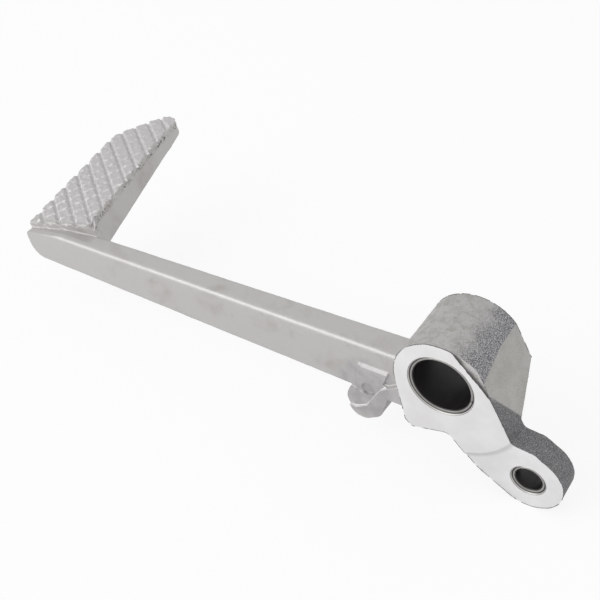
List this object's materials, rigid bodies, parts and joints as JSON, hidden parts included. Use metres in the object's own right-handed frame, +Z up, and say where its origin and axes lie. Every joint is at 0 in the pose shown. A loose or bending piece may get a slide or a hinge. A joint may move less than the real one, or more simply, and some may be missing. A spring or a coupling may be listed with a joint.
{
  "type": "rear brake pedal",
  "caption": "Cast aluminium rear brake pedal for a motorbike: a pivot boss with a bushed bore, a short lever with a bushed link eye, and a long slim arm to a toothed toe pad.",
  "frame": {"origin": "Centre of the pivot bore on the machined inboard face of the boss.", "axes": "X runs rearward, Y runs outward along the pivot, Z is up; the arm reaches forward along -X and the toe pad outward along +Y."},
  "size_m": [0.2146, 0.0782, 0.0508],
  "materials": {
    "cast_aluminium": "satin",
    "bush_steel": "satin"
  },
  "bodies": {
    "root": {"lever": "cast_aluminium", "pivot_bush": "bush_steel", "link_bush": "bush_steel"}
  },
  "joints": []
}
